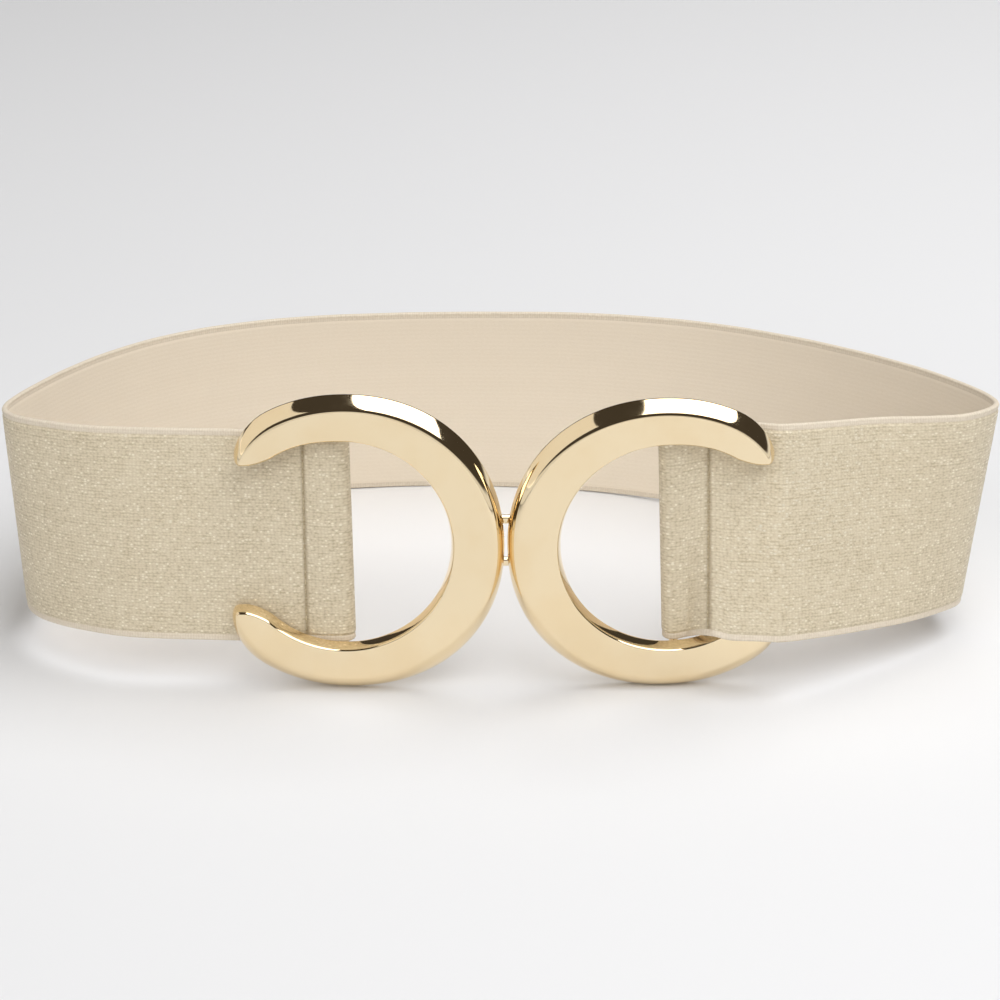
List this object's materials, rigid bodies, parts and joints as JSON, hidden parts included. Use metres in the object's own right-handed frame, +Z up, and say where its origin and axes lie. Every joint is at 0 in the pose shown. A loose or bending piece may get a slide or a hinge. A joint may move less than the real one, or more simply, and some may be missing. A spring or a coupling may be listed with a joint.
{
  "type": "elastic stretch belt",
  "caption": "Wide elastic waist belt, fastened into a loop, with open metal rings set back to back that hook together at its front.",
  "frame": {"origin": "under the middle of the belt, on the surface that it stands on", "axes": "+X to the right ring's side as seen from the front, -Y towards the front where the rings are, +Z up"},
  "size_m": [0.2658, 0.1434, 0.08],
  "materials": {
    "elastic": "champagne knitted elastic with a fine metallic thread outside, plain beige inside",
    "gold_metal": "polished pale gold plating"
  },
  "bodies": {
    "root": {"elastic_strap": "elastic", "left_ring": "gold_metal", "right_ring": "gold_metal"}
  },
  "joints": []
}
